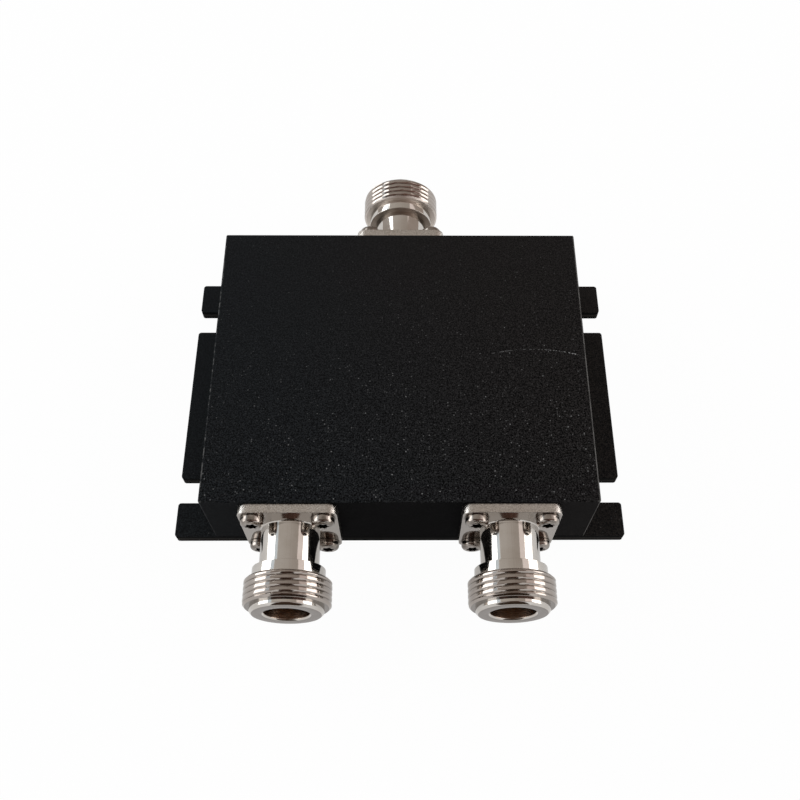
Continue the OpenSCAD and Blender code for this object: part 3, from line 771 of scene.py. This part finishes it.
# Insulators and centre contacts: a turned white fluoropolymer bush runs through the wall behind each jack,
# and holds a gold-plated bronze contact with a slit socket in front and a solder tail behind.
def build_turned_finish(name, first, second, lumps, patch, rings_per_metre, gloss, depth, metallic=0.0):
    """Finish of a small turned piece: two colours in soft patches, with feed rings in gloss and relief."""
    finish, tree, shader, place = new_finish(name, gloss[0], metallic)
    rings = use_group(tree, turned_rings, place, Rings_per_metre=rings_per_metre)["Rings"]
    patches = ramp(tree, noise(tree, place, lumps), *patch)
    tree.links.new(tint(tree, patches, first, second), shader.inputs["Base Color"])
    tree.links.new(ramp(tree, rings, 0.3, 0.7, *gloss), shader.inputs["Roughness"])
    set_relief(tree, shader, rings, 0.1, depth)
    return finish


fluoropolymer = build_turned_finish(
    "white_fluoropolymer", (0.80, 0.79, 0.75, 1), (0.86, 0.85, 0.82, 1), lumps=500.0, patch=(0.3, 0.7),
    rings_per_metre=4000, gloss=(0.36, 0.46), depth=0.03 * MM)
gold = build_turned_finish(
    "gold_plate", (0.80, 0.56, 0.22, 1), (0.70, 0.50, 0.24, 1), lumps=1500.0, patch=(0.4, 0.75),
    rings_per_metre=9000, gloss=(0.14, 0.26), depth=0.02 * MM, metallic=1.0)
for jack in jacks:
    dress(jack + "_jack_insulator", fluoropolymer)
    dress(jack + "_jack_contact", gold)


# Flange screws: four zinc-plated pan-head steel screws on each flange, cold-headed with a six-lobe recess,
# hold each jack to its wall.
pan_head_r = 2.1 * MM
pan_head_h = 1.6 * MM
pan_shank_r = 1.25 * MM
pan_length = 6 * MM
pan_drop, pan_rounding = 0.06 * MM, 0.82 * MM
pan_outline = eased([
    (1.1 * recess_r, pan_head_h, 0, None), (pan_head_r, pan_head_h - pan_drop, pan_rounding, None),
    (pan_head_r, 0, 0.1 * MM, None), (pan_shank_r, 0, 0, None),
    (pan_shank_r, shank_bevel - pan_length, 0, None), (pan_shank_r - shank_bevel, -pan_length, 0, None),
    (0, -pan_length, 0, None)], steps=8)
pan_screw = new_screw("pan_screw", pan_outline, pan_head_h)
flange_corners = [(x * screw_reach, y * screw_reach, flange_thick) for x in (-1, 1) for y in (-1, 1)]
for seed, (jack, seat) in enumerate(jacks.items(), start=11):
    places = [seat @ Vector(corner) for corner in flange_corners]
    lean = -pi / 2 if jack == "input" else pi / 2
    set_screws(jack + "_flange_screw_set", jack + "_flange_screws", places, pan_screw, lean,
               seed, zinc_steel)
bpy.data.objects.remove(pan_screw)


# Studio: a plain white table under the part and cards that only the bright metal mirrors: grey overhead,
# faintly tinted beside it, dim behind, dark in front, and a brown one low over its front.
# A broad soft lamp stands on each side in a white surround.
def seen_directly(tree):
    """1 for rays from the camera, a mirror or a glass, which see the plain white background."""
    ray = add_node(tree, "ShaderNodeLightPath").outputs
    direct = calc(tree, "ADD", ray["Is Camera Ray"], ray["Is Glossy Ray"])
    return calc(tree, "MINIMUM", calc(tree, "ADD", direct, ray["Is Transmission Ray"]), 1.0)


def flat_sheet(name, corners):
    """Flat four-cornered sheet for the stage."""
    mesh = bpy.data.meshes.new(name)
    mesh.from_pydata(corners, [], [(0, 1, 2, 3)])
    sheet = new_piece(name, mesh)
    return sheet


def new_stage_finish(name):
    """Empty finish for the stage; returns it with its tree and its output."""
    finish = bpy.data.materials.new(name)
    finish.use_nodes = True
    tree = finish.node_tree
    tree.nodes.clear()
    return finish, tree, add_node(tree, "ShaderNodeOutputMaterial")


def glow_card(name, corners, left_colour, right_colour):
    """Card of a soft brightness, from one colour to another across it, that only mirrored rays see."""
    card = flat_sheet(name, corners)
    card.visible_camera = False
    card.visible_diffuse = False
    card.visible_shadow = False
    finish, tree, out = new_stage_finish(name)
    streaks_per_metre, streak_reach, half_blend = 24.0, 0.9, 0.3
    aside = parts_of(tree, add_node(tree, "ShaderNodeTexCoord").outputs["Object"])[0]
    strip = add_node(tree, "ShaderNodeCombineXYZ", {"X": aside}).outputs[0]
    streak = calc(tree, "SUBTRACT", noise(tree, strip, streaks_per_metre), 0.5)
    streaked = calc(tree, "MULTIPLY_ADD", streak, streak_reach, aside)
    shade = tint(tree, ramp(tree, streaked, -half_blend, half_blend), left_colour, right_colour)
    glow = add_node(tree, "ShaderNodeEmission", {"Color": shade, "Strength": 1.0})
    tree.links.new(glow.outputs[0], out.inputs["Surface"])
    card.data.materials.append(finish)


table_half, table_top = 3.0, -0.05 * MM
around = ((-1, -1), (1, -1), (1, 1), (-1, 1))
table = flat_sheet("table", [(x * table_half, y * table_half, table_top) for x, y in around])
table_white = (0.85, 0.85, 0.85, 1)
table_share = 0.97
mirrored_share = 0.55
table_finish, table_tree, table_out = new_stage_finish("table_white")
matt = add_node(table_tree, "ShaderNodeBsdfDiffuse", {"Color": table_white})
glow = add_node(table_tree, "ShaderNodeEmission", {"Color": (1, 1, 1, 1), "Strength": 1.0})
table_ray = add_node(table_tree, "ShaderNodeLightPath").outputs["Is Camera Ray"]
share = ramp(table_tree, table_ray, 0.0, 1.0, mirrored_share, table_share)
white_share = calc(table_tree, "MULTIPLY", seen_directly(table_tree), share)
lit = add_node(table_tree, "ShaderNodeMixShader", {0: white_share, 1: matt.outputs[0], 2: glow.outputs[0]})
table_tree.links.new(lit.outputs[0], table_out.inputs["Surface"])
table.data.materials.append(table_finish)

pale_grey, warm_grey = (0.55, 0.51, 0.47, 1), (0.44, 0.39, 0.35, 1)
pink, pale_blue, brown_black = (1.0, 0.89, 0.85, 1), (0.80, 0.89, 0.96, 1), (0.05, 0.032, 0.022, 1)
dim_grey, dim_brown = (0.42, 0.38, 0.35, 1), (0.40, 0.335, 0.295, 1)
dark_brown, red_brown = (0.11, 0.07, 0.055, 1), (0.24, 0.135, 0.11, 1)
overhead = [(-0.55, -0.5, 0.62), (0.55, -0.5, 0.62), (0.55, 1.0, 0.62), (-0.55, 1.0, 0.62)]
glow_card("grey_card", overhead, pale_grey, warm_grey)
on_right = [(0.326, -0.25, 0.508), (0.326, 0.75, 0.508), (0.487, 0.75, 0.358), (0.487, -0.25, 0.358)]
glow_card("pink_card", on_right, pink, pink)
on_left = [(-0.405, -0.25, 0.447), (-0.405, 0.75, 0.447), (-0.487, 0.75, 0.358), (-0.487, -0.25, 0.358)]
glow_card("blue_card", on_left, pale_blue, pale_blue)
in_front = [(-0.46, -0.8, 0.02), (0.46, -0.8, 0.02), (0.1, -0.8, 0.9), (-0.1, -0.8, 0.9)]
glow_card("dark_card", in_front, brown_black, brown_black)
behind = [(-0.45, 0.28, 0), (0.45, 0.28, 0), (0.45, 0.28, 0.28), (-0.45, 0.28, 0.14)]
glow_card("back_card", behind, dim_grey, dim_brown)
low_front = [(-0.25, -0.30, 0.26), (0.50, -0.30, 0.26), (0.50, -0.07, 0.26), (-0.25, -0.07, 0.26)]
glow_card("brown_card", low_front, dark_brown, red_brown)

lamps = {
    "right_lamp": ((0.55, -0.02, 0.27), (0.70, 0.46), 2.5, (1.0, 0.95, 0.92)),
    "left_lamp": ((-0.52, 0.18, 0.27), (1.05, 0.46), 4.1, (0.96, 0.985, 1.0)),
}
for name, (spot, sizes, power, colour) in lamps.items():
    lamp = bpy.data.lights.new(name, "AREA")
    lamp.shape = "RECTANGLE"
    lamp.size, lamp.size_y = sizes
    lamp.energy = power
    lamp.color = colour
    stand = bpy.data.objects.new(name, lamp)
    bpy.context.scene.collection.objects.link(stand)
    stand.location = spot
    stand.rotation_euler = Vector((spot[0], spot[1], 0)).to_track_quat("Z", "Y").to_euler()

surround = bpy.data.worlds.new("surround")
surround.use_nodes = True
bpy.context.scene.world = surround
sky_tree = surround.node_tree
sky_tree.nodes.clear()
sky_dim = 0.46
sky = add_node(sky_tree, "ShaderNodeBackground", {"Color": (1, 1, 1, 1)})
level = add_node(sky_tree, "ShaderNodeMapRange", {"Value": seen_directly(sky_tree), "To Min": sky_dim})
sky_tree.links.new(level.outputs[0], sky.inputs["Strength"])
sky_out = add_node(sky_tree, "ShaderNodeOutputWorld")
sky_tree.links.new(sky.outputs[0], sky_out.inputs["Surface"])


# Camera: the photograph's viewpoint, above and in front, fitted to the housing's edges and the jacks. Its
# dark case is a card behind the lens, because the corners of the bright metal mirror it.
image_px = 800
focal_px = 925.25
camera_spot = Vector((0.747, -90.325, 173.299)) * MM
camera_yaw, camera_pitch, camera_roll = radians(1.606), radians(62.803), radians(1.394)
optical_px = (416, 413.4)
ahead = Vector((sin(camera_yaw), cos(camera_yaw), 0))
sight = cos(camera_pitch) * ahead - sin(camera_pitch) * Vector((0, 0, 1))
level_right = Vector((cos(camera_yaw), -sin(camera_yaw), 0))
level_up = level_right.cross(sight)
right = cos(camera_roll) * level_right + sin(camera_roll) * level_up
up = cos(camera_roll) * level_up - sin(camera_roll) * level_right
lens = bpy.data.cameras.new("camera")
lens.sensor_width = 36
lens.lens = lens.sensor_width * focal_px / image_px
lens.shift_x = (image_px / 2 - optical_px[0]) / image_px
lens.shift_y = (optical_px[1] - image_px / 2) / image_px
lens.clip_start = 0.01
camera = bpy.data.objects.new("camera", lens)
bpy.context.scene.collection.objects.link(camera)
camera.matrix_world = Matrix.Translation(camera_spot) @ Matrix((right, up, -sight)).transposed().to_4x4()
case_half = (50 * MM, 32 * MM)
behind_lens = 10 * MM
case_middle = camera_spot - behind_lens * sight
case_corners = [case_middle + x * case_half[0] * right + y * case_half[1] * up for x, y in around]
glow_card("camera_case", case_corners, brown_black, brown_black)
bpy.context.scene.camera = camera
bpy.context.scene.view_settings.view_transform = "Standard"
